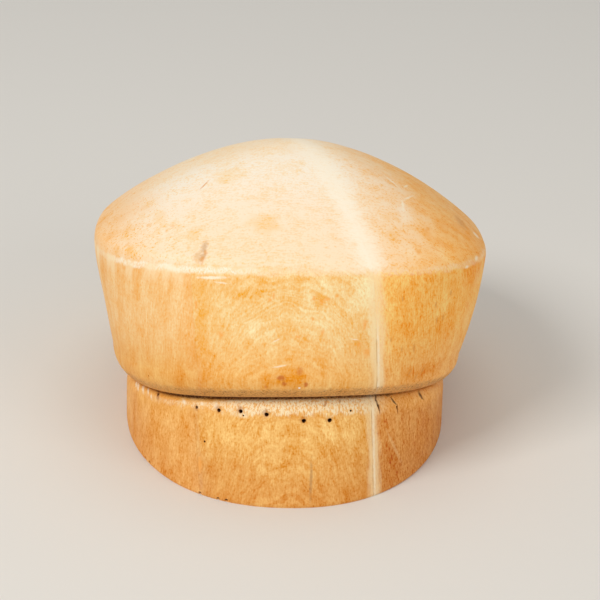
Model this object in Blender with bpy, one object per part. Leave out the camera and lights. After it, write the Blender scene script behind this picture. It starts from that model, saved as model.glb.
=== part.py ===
"""Wooden hat block: three upright planks glued into one blank, which is carved to the shape of a hat.

The hat's axis leans back over the flat underside. The rope groove therefore stands high above the bench
at the front and low at the back, and the base below it is a wedge. The front faces -Y, the back +Y, and
+X is on the right of someone who looks at the front. Metres, +Z up. The origin is on the underside, below
the middle of the block's bounding box.
"""
import bmesh
import bpy
import math
from mathutils import Matrix, Vector

MM = 0.001

# Lean of the hat's axis, and where the axis passes the groove, seen from the middle of the underside
LEAN = math.radians(12.7)
AXIS_BACK = 8.1 * MM
AXIS_HEIGHT = 18.0 * MM

# Head oval: the outside of the base, just below the rope groove
HEAD_HALF_WIDTH = 84.9 * MM
HEAD_HALF_LENGTH = 100.3 * MM
HEAD_FULLNESS = 2.17

# Rope groove: it falls from the front and levels out towards the back, and a worn slope runs below it.
# It was rasped by hand, so it also peaks a little in the middle of the front and rides up on the left.
GROOVE_LEVEL_HEIGHT = 12.8 * MM
GROOVE_FALL = 39.5 * MM
GROOVE_BEND_SHARE = 0.39
GROOVE_SIDE_TILT = 3.0 * MM
GROOVE_FRONT_PEAK = 1.3 * MM
GROOVE_LEFT_PEAK = 4.7 * MM
GROOVE_PEAK_POWER = 6
GROOVE_DEPTH = 3.8 * MM
GROOVE_FLOOR = 0.9 * MM
BEVEL_HEIGHT = 7.5 * MM

# Rim: the lower edge of the hat's body, rounded under to the groove
RIM_HALF_WIDTH = 92.4 * MM
RIM_HALF_LENGTH = 109.6 * MM
RIM_ROUND_HEIGHT = 12.7 * MM
RIM_RIGHT_RISE = 3.6 * MM

# Shoulder: the widest oval, where the side wall turns into the crown
SHOULDER_HALF_WIDTH = 103.9 * MM
SHOULDER_HALF_LENGTH = 106.2 * MM
SHOULDER_FULLNESS = 2.55
SHOULDER_BACK = 3.2 * MM
SHOULDER_HEIGHT = 81.1 * MM
SHOULDER_END_RISE = 1.8 * MM
SHOULDER_LEFT_DROP = 2.6 * MM
SHOULDER_RIGHT_DROP = 4.8 * MM
WALL_BULGE_RIGHT = 2.0 * MM
ROUND_START_SHARE = 0.80
ROUND_RIGHT_SHARE = 0.13
ROUND_END_SHARE = 0.97

# Crown: a shallow dome over the shoulder oval
CROWN_HEIGHT = 126.5 * MM
CROWN_BACK = 0.7 * MM
CROWN_POWER = 1.57
CROWN_ROUNDNESS = 0.90
CROWN_TOP_SHARE = 0.13

# Planks of the blank: upright joints, skewed to the hat's long axis
JOINT_SKEW = math.radians(18.2)
RIGHT_JOINT_OFFSET = 16.4 * MM
PLANK_THICKNESS = 83.4 * MM
GLUE_LINE = 0.3 * MM

# Socket for the spigot of a block stand
SOCKET_RADIUS = 12.7 * MM
SOCKET_DEPTH = 50.0 * MM
SOCKET_SIDES = 32

# Fineness of the carved surface
AROUND = 120
BASE_STEPS = 3
BEVEL_STEPS = 3
RIM_STEPS = 7
WALL_STEPS = 5
SHOULDER_STEPS = 5
CROWN_STEPS = 10
SHORTEST_EDGE = 0.2 * MM

LEANING_FRAME = Matrix.Translation((0, AXIS_BACK, AXIS_HEIGHT)) @ Matrix.Rotation(-LEAN, 4, "X")


def oval(angle, fullness):
    """Unit oval as (across, along); a fullness of 2 is an ellipse and more is squarer."""
    across = math.copysign(abs(math.cos(angle)) ** (2 / fullness), math.cos(angle))
    along = math.copysign(abs(math.sin(angle)) ** (2 / fullness), math.sin(angle))
    return across, along


def groove_line(across, along, tilt):
    """Height of the groove in the leaning frame: a straight fall that levels out towards the back."""
    levelling = math.hypot(along, GROOVE_BEND_SHARE) - along
    above_bench = GROOVE_LEVEL_HEIGHT + GROOVE_FALL / 2 * levelling + tilt * across
    above_bench += GROOVE_FRONT_PEAK * max(-along, 0) ** GROOVE_PEAK_POWER
    above_bench += GROOVE_LEFT_PEAK * max(-across, 0) ** GROOVE_PEAK_POWER
    behind_axis = (HEAD_HALF_LENGTH - GROOVE_DEPTH) * along
    return (above_bench - AXIS_HEIGHT + behind_axis * math.sin(LEAN)) / math.cos(LEAN)


def base_point(angle, share):
    """Side of the base, from the bench at share 0 to the foot of the worn slope at share 1."""
    across, along = oval(angle, HEAD_FULLNESS)
    top_height = groove_line(across, along, GROOVE_SIDE_TILT) - BEVEL_HEIGHT
    top = LEANING_FRAME @ Vector((HEAD_HALF_WIDTH * across, HEAD_HALF_LENGTH * along, top_height))
    to_bench = top.z / math.cos(LEAN) * (1 - share)
    point = top - to_bench * Vector((0, math.sin(LEAN), math.cos(LEAN)))
    if share == 0:
        point.z = 0
    return point


def bevel_point(angle, share):
    """Worn slope that turns from the side of the base into the groove."""
    across, along = oval(angle, HEAD_FULLNESS)
    turn = share * math.pi / 2
    inset = GROOVE_DEPTH * (1 - math.cos(turn))
    drop = GROOVE_FLOOR + (BEVEL_HEIGHT - GROOVE_FLOOR) * (1 - math.sin(turn))
    height = groove_line(across, along, GROOVE_SIDE_TILT) - drop
    return LEANING_FRAME @ Vector(
        ((HEAD_HALF_WIDTH - inset) * across, (HEAD_HALF_LENGTH - inset) * along, height))


def rim_height(across, along):
    """Height of the rim's widest line in the leaning frame."""
    return groove_line(across, along, 0) + RIM_ROUND_HEIGHT + RIM_RIGHT_RISE * max(across, 0) ** 2


def rim_point(angle, share):
    """Underside of the body, rounded from the floor of the groove out to the rim."""
    across, along = oval(angle, HEAD_FULLNESS)
    turn = share * math.pi / 2
    out = math.sin(turn)
    floor_width = HEAD_HALF_WIDTH - GROOVE_DEPTH
    floor_length = HEAD_HALF_LENGTH - GROOVE_DEPTH
    width = floor_width + (RIM_HALF_WIDTH - floor_width) * out
    length = floor_length + (RIM_HALF_LENGTH - floor_length) * out
    low = groove_line(across, along, GROOVE_SIDE_TILT)
    height = low + (rim_height(across, along) - low) * (1 - math.cos(turn))
    return LEANING_FRAME @ Vector((width * across, length * along, height))


def shoulder_point(angle):
    """Corner line where the side wall and the crown would meet without their rounding."""
    across, along = oval(angle, SHOULDER_FULLNESS)
    side_drop = SHOULDER_RIGHT_DROP if across > 0 else SHOULDER_LEFT_DROP
    height = SHOULDER_HEIGHT + SHOULDER_END_RISE * along ** 2 - side_drop * across ** 2
    return Vector((SHOULDER_HALF_WIDTH * across, SHOULDER_BACK + SHOULDER_HALF_LENGTH * along, height))


def wall_point(angle, share):
    """Side wall, from the rim at share 0 to the shoulder's corner line at share 1."""
    across, along = oval(angle, HEAD_FULLNESS)
    rim = Vector((RIM_HALF_WIDTH * across, RIM_HALF_LENGTH * along, rim_height(across, along)))
    point = rim.lerp(shoulder_point(angle), share)
    point.x += WALL_BULGE_RIGHT * 4 * share * (1 - share) * max(across, 0)
    return LEANING_FRAME @ point


def crown_fall(reach):
    """Share of the crown's height lost at a reach from its top: 0 at the top and 1 at the corner line."""
    least = CROWN_TOP_SHARE ** CROWN_POWER
    most = math.hypot(1, CROWN_TOP_SHARE) ** CROWN_POWER
    fall = (math.hypot(reach, CROWN_TOP_SHARE) ** CROWN_POWER - least) / (most - least)
    return 1 - max(1 - fall, 0) ** CROWN_ROUNDNESS


def crown_point(angle, reach):
    """Crown, from its top at reach 0 to the shoulder's corner line at reach 1."""
    edge = shoulder_point(angle)
    level = SHOULDER_HEIGHT + (edge.z - SHOULDER_HEIGHT) * reach
    height = CROWN_HEIGHT - (CROWN_HEIGHT - level) * crown_fall(reach)
    return LEANING_FRAME @ Vector((edge.x * reach, edge.y * reach + CROWN_BACK * (1 - reach), height))


def round_start(angle):
    """Share of the side wall below the shoulder's rounding, which is tighter on the right."""
    across, _ = oval(angle, SHOULDER_FULLNESS)
    return ROUND_START_SHARE + ROUND_RIGHT_SHARE * across


def shoulder_round_point(angle, share):
    """Rounding over the corner line, from the side wall to the crown."""
    start = wall_point(angle, round_start(angle))
    corner = wall_point(angle, 1)
    end = crown_point(angle, ROUND_END_SHARE)
    return start.lerp(corner, share).lerp(corner.lerp(end, share), share)


def carved_rings():
    """Every ring of the blank's surface, from the bench to the crown's last ring."""
    angles = [2 * math.pi * step / AROUND for step in range(AROUND)]
    rings = []
    for step in range(BASE_STEPS + 1):
        rings.append([base_point(angle, step / BASE_STEPS) for angle in angles])
    for step in range(1, BEVEL_STEPS + 1):
        rings.append([bevel_point(angle, step / BEVEL_STEPS) for angle in angles])
    for step in range(RIM_STEPS + 1):
        rings.append([rim_point(angle, step / RIM_STEPS) for angle in angles])
    for step in range(1, WALL_STEPS):
        rings.append([wall_point(angle, round_start(angle) * step / WALL_STEPS) for angle in angles])
    for step in range(SHOULDER_STEPS + 1):
        rings.append([shoulder_round_point(angle, step / SHOULDER_STEPS) for angle in angles])
    for step in range(1, CROWN_STEPS):
        rings.append([crown_point(angle, ROUND_END_SHARE * (1 - step / CROWN_STEPS)) for angle in angles])
    return rings


def carve_blank():
    """The whole block as one closed surface."""
    blank = bmesh.new()
    rings = [[blank.verts.new(point) for point in ring] for ring in carved_rings()]
    blank.faces.new(reversed(rings[0]))
    for lower, upper in zip(rings, rings[1:]):
        for step in range(AROUND):
            following = (step + 1) % AROUND
            blank.faces.new((lower[step], lower[following], upper[following], upper[step]))
    top = blank.verts.new(crown_point(0, 0))
    for step in range(AROUND):
        blank.faces.new((rings[-1][step], rings[-1][(step + 1) % AROUND], top))
    bmesh.ops.recalc_face_normals(blank, faces=blank.faces)
    return blank


def cut_plank(blank, name, colour, low=None, high=None):
    """One plank of the blank, between the joints at the offsets low and high across the fibre."""
    across_joints = Vector((math.cos(JOINT_SKEW), math.sin(JOINT_SKEW), 0))
    plank = blank.copy()
    for offset, side in ((low, -1), (high, 1)):
        if offset is None:
            continue
        cut_at = offset - side * GLUE_LINE / 2
        geometry = plank.verts[:] + plank.edges[:] + plank.faces[:]
        bmesh.ops.bisect_plane(plank, geom=geometry, dist=1e-7, plane_co=across_joints * cut_at,
                               plane_no=across_joints * side, clear_outer=True)
        bmesh.ops.remove_doubles(plank, verts=plank.verts, dist=SHORTEST_EDGE)
        open_edges = [edge for edge in plank.edges if edge.is_boundary]
        bmesh.ops.holes_fill(plank, edges=open_edges, sides=0)
    bmesh.ops.triangulate(plank, faces=plank.faces[:], quad_method="BEAUTY", ngon_method="BEAUTY")
    bmesh.ops.recalc_face_normals(plank, faces=plank.faces)
    mesh = bpy.data.meshes.new(name)
    plank.to_mesh(mesh)
    plank.free()
    mesh.shade_smooth()
    mesh.set_sharp_from_angle(angle=math.radians(40))
    mesh.materials.append(wood_material(name, colour))
    piece = bpy.data.objects.new(name, mesh)
    bpy.context.collection.objects.link(piece)
    return piece


def wood_material(name, colour):
    """Bare close-grained wood, polished by handling."""
    material = bpy.data.materials.new(name + "_wood")
    material.use_nodes = True
    shader = material.node_tree.nodes["Principled BSDF"]
    shader.inputs["Base Color"].default_value = (*colour, 1)
    shader.inputs["Roughness"].default_value = 0.5
    shader.inputs["Metallic"].default_value = 0
    return material


def socket_cutter():
    """Upright cylinder that bores the stand's socket up from the underside."""
    bore = bmesh.new()
    length = 2 * SOCKET_DEPTH
    bmesh.ops.create_cone(bore, cap_ends=True, segments=SOCKET_SIDES, radius1=SOCKET_RADIUS,
                          radius2=SOCKET_RADIUS, depth=length)
    mesh = bpy.data.meshes.new("socket_cutter")
    bore.to_mesh(mesh)
    bore.free()
    cutter = bpy.data.objects.new("socket_cutter", mesh)
    cutter.hide_render = True
    cutter.display_type = "WIRE"
    bpy.context.collection.objects.link(cutter)
    return cutter


for leftover in list(bpy.data.objects):
    bpy.data.objects.remove(leftover, do_unlink=True)

whole = carve_blank()
left_joint_offset = RIGHT_JOINT_OFFSET - PLANK_THICKNESS
left_plank = cut_plank(whole, "left_plank", (0.70, 0.45, 0.21), high=left_joint_offset)
middle_plank = cut_plank(whole, "middle_plank", (0.76, 0.52, 0.27), low=left_joint_offset,
                         high=RIGHT_JOINT_OFFSET)
right_plank = cut_plank(whole, "right_plank", (0.66, 0.40, 0.18), low=RIGHT_JOINT_OFFSET)

cutter = socket_cutter()
bore = middle_plank.modifiers.new("stand_socket", "BOOLEAN")
bore.operation = "DIFFERENCE"
bore.solver = "EXACT"
bore.object = cutter

# The empty sets the origin below the middle of the bounding box
lows = [min(vert.co[axis] for vert in whole.verts) for axis in range(2)]
highs = [max(vert.co[axis] for vert in whole.verts) for axis in range(2)]
whole.free()
block = bpy.data.objects.new("hat_block", None)
block.location = (-(lows[0] + highs[0]) / 2, -(lows[1] + highs[1]) / 2, 0)
bpy.context.collection.objects.link(block)
for piece in (left_plank, middle_plank, right_plank, cutter):
    piece.parent = block
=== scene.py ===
"""Wooden hat block of three glued planks, carved in one piece to the shape of a hat over a wedge base.

Lengths are in millimetres until a mesh is made, and the fibre of the wood runs straight up.
"""
import math

import bmesh
import bpy
import numpy as np
from mathutils import Matrix, Vector, noise
from mathutils.bvhtree import BVHTree


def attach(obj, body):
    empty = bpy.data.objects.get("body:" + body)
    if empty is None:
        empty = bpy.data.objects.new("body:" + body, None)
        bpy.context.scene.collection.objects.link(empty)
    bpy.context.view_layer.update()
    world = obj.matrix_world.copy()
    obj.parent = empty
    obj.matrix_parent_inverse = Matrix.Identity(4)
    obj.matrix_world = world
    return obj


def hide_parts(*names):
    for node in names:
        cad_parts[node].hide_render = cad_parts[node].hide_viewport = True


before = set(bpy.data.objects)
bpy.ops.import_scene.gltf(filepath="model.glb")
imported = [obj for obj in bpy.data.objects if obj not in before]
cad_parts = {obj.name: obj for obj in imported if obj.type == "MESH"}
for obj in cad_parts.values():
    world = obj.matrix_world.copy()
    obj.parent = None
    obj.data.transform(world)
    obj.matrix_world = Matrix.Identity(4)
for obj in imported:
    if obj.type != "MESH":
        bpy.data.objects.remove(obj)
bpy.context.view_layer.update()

# The carved blank
# The glued blank is bandsawn and rasped to one closed form, and only then do its parts get their names:
# crown, shoulder, side wall, rim, cord groove, worn slope and base. Hardwood, worn smooth by use.
MM = 0.001
hat_lean = math.radians(12.7)
socket_place = np.array([-0.723, -16.526, 0.0])
axis_back, axis_height = 8.1, 18.0
head_width, head_length, head_fullness = 84.9, 100.3, 2.17
groove_depth, groove_floor, slope_height = 3.8, 0.9, 7.5
rim_width, rim_length, rim_round, rim_right_rise = 92.4, 109.6, 12.7, 3.6
shoulder_width, shoulder_length, shoulder_fullness = 103.9, 106.2, 2.55
shoulder_back, shoulder_height = 3.2, 81.1
crown_height, crown_back, crown_power, crown_roundness, crown_softness = 126.5, 0.7, 1.57, 0.90, 0.13
round_from_wall, round_tighter_right, round_to_crown = 0.80, 0.13, 0.97


def oval(angle, fullness):
    """Unit oval, from an ellipse at a fullness of 2 to squarer forms above it."""
    across = np.sign(np.cos(angle)) * np.abs(np.cos(angle)) ** (2 / fullness)
    along = np.sign(np.sin(angle)) * np.abs(np.sin(angle)) ** (2 / fullness)
    return across, along


def groove_line(across, along, tilt=3.0):
    """Height of the cord groove along the hat's leaning axis."""
    level, fall, bend = 12.8, 39.5, 0.39
    front_peak, left_peak, peak_power = 1.3, 4.7, 6
    above_bench = level + fall / 2 * (np.hypot(along, bend) - along) + tilt * across
    above_bench = above_bench + front_peak * np.maximum(-along, 0) ** peak_power
    above_bench = above_bench + left_peak * np.maximum(-across, 0) ** peak_power
    behind_axis = (head_length - groove_depth) * along
    return (above_bench - axis_height + behind_axis * np.sin(hat_lean)) / np.cos(hat_lean)


def upright(across, along, height):
    """From the leaning hat to the block on its bench."""
    across, along, height = np.broadcast_arrays(across, along, height)
    back = axis_back + along * np.cos(hat_lean) + height * np.sin(hat_lean)
    up = axis_height - along * np.sin(hat_lean) + height * np.cos(hat_lean)
    return np.stack([across, back, up], -1)


def base_ring(angle, share):
    """The base, from its foot on the bench up to the worn slope."""
    across, along = oval(angle, head_fullness)
    top = upright(head_width * across, head_length * along, groove_line(across, along) - slope_height)
    down = np.array([0, math.sin(hat_lean), math.cos(hat_lean)])
    return top - (top[:, 2:] / math.cos(hat_lean) * (1 - share)) * down


def slope_ring(angle, share):
    """The worn slope, which turns in to the floor of the groove."""
    across, along = oval(angle, head_fullness)
    turn = share * math.pi / 2
    inset = groove_depth * (1 - math.cos(turn))
    drop = groove_floor + (slope_height - groove_floor) * (1 - math.sin(turn))
    return upright((head_width - inset) * across, (head_length - inset) * along,
                   groove_line(across, along) - drop)


def rim_height(across, along):
    """Height of the rim's widest line in the leaning hat."""
    return groove_line(across, along, 0) + rim_round + rim_right_rise * np.maximum(across, 0) ** 2


def rim_ring(angle, share):
    """The rounded rim, from the groove out to the side wall."""
    across, along = oval(angle, head_fullness)
    turn = share * math.pi / 2
    width = head_width - groove_depth + (rim_width - head_width + groove_depth) * math.sin(turn)
    length = head_length - groove_depth + (rim_length - head_length + groove_depth) * math.sin(turn)
    low = groove_line(across, along)
    height = low + (rim_height(across, along) - low) * (1 - math.cos(turn))
    return upright(width * across, length * along, height)


def shoulder_edge(angle):
    """Where the side wall and the crown would meet in a sharp corner, in the leaning hat."""
    across, along = oval(angle, shoulder_fullness)
    end_rise, left_drop, right_drop = 1.8, 2.6, 4.8
    drop = np.where(across > 0, right_drop, left_drop)
    height = shoulder_height + end_rise * along ** 2 - drop * across ** 2
    return shoulder_width * across, shoulder_back + shoulder_length * along, height


def wall_ring(angle, share):
    """The flared side wall, from the rim up to a sharp shoulder."""
    across, along = oval(angle, head_fullness)
    edge_across, edge_along, edge_height = shoulder_edge(angle)
    right_bulge = 2.0
    bulge = right_bulge * 4 * share * (1 - share) * np.maximum(across, 0)
    low = rim_height(across, along)
    return upright(rim_width * across * (1 - share) + edge_across * share + bulge,
                   rim_length * along * (1 - share) + edge_along * share,
                   low * (1 - share) + edge_height * share)


def crown_ring(angle, reach):
    """The domed crown, from its middle out to the sharp shoulder."""
    edge_across, edge_along, edge_height = shoulder_edge(angle)
    least = crown_softness ** crown_power
    most = math.hypot(1, crown_softness) ** crown_power
    fall = (math.hypot(reach, crown_softness) ** crown_power - least) / (most - least)
    lost = 1 - max(1 - fall, 0) ** crown_roundness
    level = shoulder_height + (edge_height - shoulder_height) * reach
    return upright(edge_across * reach, edge_along * reach + crown_back * (1 - reach),
                   crown_height - (crown_height - level) * lost)


def shoulder_ring(angle, share):
    """The rounded shoulder that takes the place of the sharp one."""
    wall_share = round_from_wall + round_tighter_right * oval(angle, shoulder_fullness)[0]
    start = wall_ring(angle, wall_share)
    corner = wall_ring(angle, 1)
    end = crown_ring(angle, round_to_crown)
    wall_side = start * (1 - share) + corner * share
    crown_side = corner * (1 - share) + end * share
    return wall_side * (1 - share) + crown_side * share


def wall_below_round(angle, share):
    """The side wall as far as the rounded shoulder."""
    wall_share = round_from_wall + round_tighter_right * oval(angle, shoulder_fullness)[0]
    return wall_ring(angle, share * wall_share)


def place_on_hat(points):
    """For points on the block: height over the cord groove, and height over the crease round the crown."""
    local = points - socket_place
    back, up = local[:, 1] - axis_back, local[:, 2] - axis_height
    along = back * np.cos(hat_lean) - up * np.sin(hat_lean)
    height = back * np.sin(hat_lean) + up * np.cos(hat_lean)

    def turned(width, length, middle, fullness):
        across_share, along_share = local[:, 0] / width, (along - middle) / length
        return np.arctan2(np.sign(along_share) * np.abs(along_share) ** (fullness / 2),
                          np.sign(across_share) * np.abs(across_share) ** (fullness / 2))

    groove_turn = turned(head_width, head_length, 0, head_fullness)
    over_groove = height - groove_line(*oval(groove_turn, head_fullness))
    every_degree, middle_of_round = 361, 0.5
    around = np.linspace(-math.pi, math.pi, every_degree)
    crease = shoulder_ring(around, middle_of_round)
    crease_height = ((crease[:, 1] - axis_back) * np.sin(hat_lean)
                     + (crease[:, 2] - axis_height) * np.cos(hat_lean))
    at_point = turned(shoulder_width, shoulder_length, shoulder_back, shoulder_fullness)
    return over_groove, height - np.interp(at_point, around, crease_height)


columns = 720
base_steps, slope_steps, rim_steps, wall_steps, shoulder_steps, crown_steps = 46, 18, 30, 50, 20, 90
angle = np.linspace(0, 2 * math.pi, columns, endpoint=False)
rings = [base_ring(angle, share) for share in np.linspace(0, 1, base_steps)]
rings += [slope_ring(angle, share) for share in np.linspace(0, 1, slope_steps)[1:]]
rings += [rim_ring(angle, share) for share in np.linspace(0, 1, rim_steps)]
rings += [wall_below_round(angle, share) for share in np.linspace(0, 1, wall_steps)[1:-1]]
rings += [shoulder_ring(angle, share) for share in np.linspace(0, 1, shoulder_steps)]
rings += [crown_ring(angle, round_to_crown * reach) for reach in np.linspace(1, 0, crown_steps)[1:-1]]
carved = np.concatenate(rings + [crown_ring(angle[:1], 0)]) + socket_place
carved[:columns, 2] = 0


def roughness_at(point, size, octaves):
    fading, finer_by = 1.0, 2.0
    return noise.fractal(Vector(point) / size, fading, finer_by, octaves)


def weathered(points):
    """How far the tools and the years have taken the surface in, in mm."""
    hand_depth, hand_size, fibre_length, groove_reach = 0.16, 26.0, 14, 9
    rasp_depth, rasp_above, rasp_reach, rasp_size = 0.34, 3.4, 3.6, 1.3
    torn_depth, torn_below, torn_reach, torn_size = 0.22, 3.5, 5.0, 1.1
    usual, swing_about, broad, fine = 0.5, 0.9, 2, 3
    over_groove, _ = place_on_hat(points)
    depth = np.zeros(len(points))
    for index, point in enumerate(points):
        above = over_groove[index]
        hand = hand_depth + hand_depth * roughness_at(point, hand_size, broad)
        fibre = (point[0], point[1], point[2] / fibre_length)
        if -groove_reach < above < groove_reach:
            rasp = rasp_depth * max(0, 1 - abs(above - rasp_above) / rasp_reach)
            torn = torn_depth * max(0, 1 - abs(above + torn_below) / torn_reach)
            scratch = usual + swing_about * roughness_at(point, rasp_size, fine)
            tear = usual + swing_about * roughness_at(fibre, torn_size, fine)
            hand += rasp * min(max(scratch, 0), 1) + torn * min(max(tear, 0), 1)
        depth[index] = max(hand, 0)
    return depth


def grid_faces(ring_count):
    """Corner numbers of the squares between rings, the fan at the crown and the flat underside."""
    first = np.arange(ring_count - 1)[:, None] * columns + np.arange(columns)[None, :]
    after = np.arange(ring_count - 1)[:, None] * columns + (np.arange(columns)[None, :] + 1) % columns
    squares = np.stack([first, after, after + columns, first + columns], -1).reshape(-1, 4).tolist()
    last = (ring_count - 1) * columns
    fan = [(last + step, last + (step + 1) % columns, ring_count * columns) for step in range(columns)]
    underside = [tuple(range(columns - 1, -1, -1))]
    return squares + fan + underside


blank_mesh = bpy.data.meshes.new("blank")
blank_mesh.from_pydata(carved.tolist(), [], grid_faces(len(rings)))
blank_mesh.update()
outward = np.empty(len(carved) * 3)
blank_mesh.vertex_normals.foreach_get("vector", outward)
outward = outward.reshape(-1, 3)
worn_in = weathered(carved)
edge_round = 0.8
near_bench = carved[:, 2] < edge_round
worn_in[near_bench] += (edge_round - np.sqrt(np.maximum(
    edge_round ** 2 - (edge_round - carved[near_bench, 2]) ** 2, 0)))
outward[near_bench, 2] = 0
worn = carved - outward * worn_in[:, None]
worn[:columns, 2] = 0
blank_mesh.vertices.foreach_set("co", (worn * MM).ravel())
blank_mesh.update()
carved_surface = BVHTree.FromPolygons((worn * MM).tolist(), [p.vertices[:] for p in blank_mesh.polygons])


# The pin holes, splits and chips
# Steel pins held the felt and the cord below the groove, and left a row of holes. The edges of the glued
# wood have split a little along the fibre, and the lower edge is chipped where the block was set down.
def on_front(across, height):
    """Point and outward direction of the carved surface, seen from the front."""
    clear_of_front = -200.0
    start = Vector((across, clear_of_front, height)) * MM
    point, normal, _, _ = carved_surface.ray_cast(start, Vector((0, 1, 0)))
    return point, normal


def spindle(tool, place, direction, radius, depth, sides, twist=0.0):
    """A pointed hole cutter along a direction, with a slightly uneven mouth."""
    proud, proud_size, neck, tip_size = 0.6, 1.15, 0.15, 0.55
    unevenness, lobes, lobe_turn = 0.05, 3, 9
    turn = direction.to_track_quat("Z", "Y").to_matrix().to_4x4()
    cutter_place = Matrix.Translation(place) @ turn
    levels = []
    for level, size in ((proud, proud_size), (-neck, 1.0), (-depth, tip_size)):
        ring = []
        for step in range(sides):
            around = 2 * math.pi * step / sides + twist
            uneven = 1 + unevenness * math.sin(lobes * around + lobe_turn * twist)
            ring.append(tool.verts.new(cutter_place @ Vector((
                radius * size * uneven * math.cos(around) * MM,
                radius * size * uneven * math.sin(around) * MM,
                level * MM))))
        levels.append(ring)
    tool.faces.new(levels[0])
    tool.faces.new(list(reversed(levels[-1])))
    for upper, lower in zip(levels, levels[1:]):
        for step in range(sides):
            following = (step + 1) % sides
            tool.faces.new((upper[step], lower[step], lower[following], upper[following]))


def wedge(tool, first, second, width, depth):
    """A split along the fibre: a thin wedge between two points of the surface."""
    proud, far_opening = 0.5, 0.35
    ends = [on_front(*first), on_front(*second)]
    along = (ends[1][0] - ends[0][0]).normalized()
    rows = []
    for (place, normal), opening in ((ends[0], 1.0), (ends[1], far_opening)):
        sideways = along.cross(normal).normalized() * (width / 2 * opening) * MM
        lift = normal * proud * MM
        sink = normal * depth * opening * MM
        rows.append([tool.verts.new(place + lift - sideways), tool.verts.new(place + lift + sideways),
                     tool.verts.new(place - sink)])
    tool.faces.new(rows[0])
    tool.faces.new(list(reversed(rows[1])))
    for step in range(3):
        following = (step + 1) % 3
        tool.faces.new((rows[0][step], rows[1][step], rows[1][following], rows[0][following]))


# Pin holes and chips: how far across, how high and what radius. Splits: where from, where to, width, depth.
pin_holes = [(-65.1, 38.6, 0.8), (-44.8, 43.8, 0.8), (-33.6, 45.7, 1.0), (-22.8, 47.4, 1.05),
             (-21.4, 45.5, 0.45), (-10.0, 47.3, 1.1), (8.4, 44.6, 1.1), (21.2, 44.1, 1.15),
             (31.5, 47.4, 0.6), (-40.5, 28.0, 0.6), (-69.5, 53.1, 0.5)]
splits = [((43.9, 49.0), (44.8, 47.3), 1.2, 1.4), ((45.2, 46.8), (46.4, 41.9), 1.7, 2.4),
          ((51.4, 47.2), (54.5, 43.2), 0.8, 1.2), ((55.1, 42.4), (55.8, 37.9), 1.8, 2.6),
          ((66.9, 40.3), (69.5, 36.2), 0.9, 1.2)]
chips = [(-72.0, 0.9, 1.3), (-69.5, 1.3, 0.9), (-42.3, 0.7, 1.2), (-33.1, 0.7, 1.1), (-29.0, 0.9, 1.2),
         (31.0, 56.6, 0.9)]
pin_depth, pin_sides, pin_twist = 3.6, 14, 0.7
chip_depth, chip_sides, chip_twist = 0.9, 7, 0.4
hole_tool = bmesh.new()
for count, (across, height, radius) in enumerate(pin_holes):
    place, normal = on_front(across, height)
    spindle(hole_tool, place, normal, radius, pin_depth, pin_sides, twist=pin_twist * count)
for count, (across, height, radius) in enumerate(chips):
    place, normal = on_front(across, height)
    spindle(hole_tool, place, normal, radius, chip_depth, chip_sides, twist=chip_twist * count)
for first, second, width, depth in splits:
    wedge(hole_tool, first, second, width, depth)
bmesh.ops.recalc_face_normals(hole_tool, faces=hole_tool.faces)
hole_mesh = bpy.data.meshes.new("hole_tool")
hole_tool.to_mesh(hole_mesh)
hole_tool.free()
hole_cutter = bpy.data.objects.new("hole_tool", hole_mesh)
bpy.context.collection.objects.link(hole_cutter)

# The wood
# One close-grained hardwood, fibre straight up and growth rings round the heart of the tree. Felt, hands
# and steam left it honey brown on the sides, redder on the base and bleached to cream on the crown.
joint_skew = math.radians(18.2)
right_joint, plank_thickness, glue_line = 16.4, 83.4, 0.02
joint_direction = (math.cos(joint_skew), math.sin(joint_skew), 0.0)
joint_zero = float(np.dot(joint_direction, socket_place))
left_joint = right_joint - plank_thickness


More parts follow.
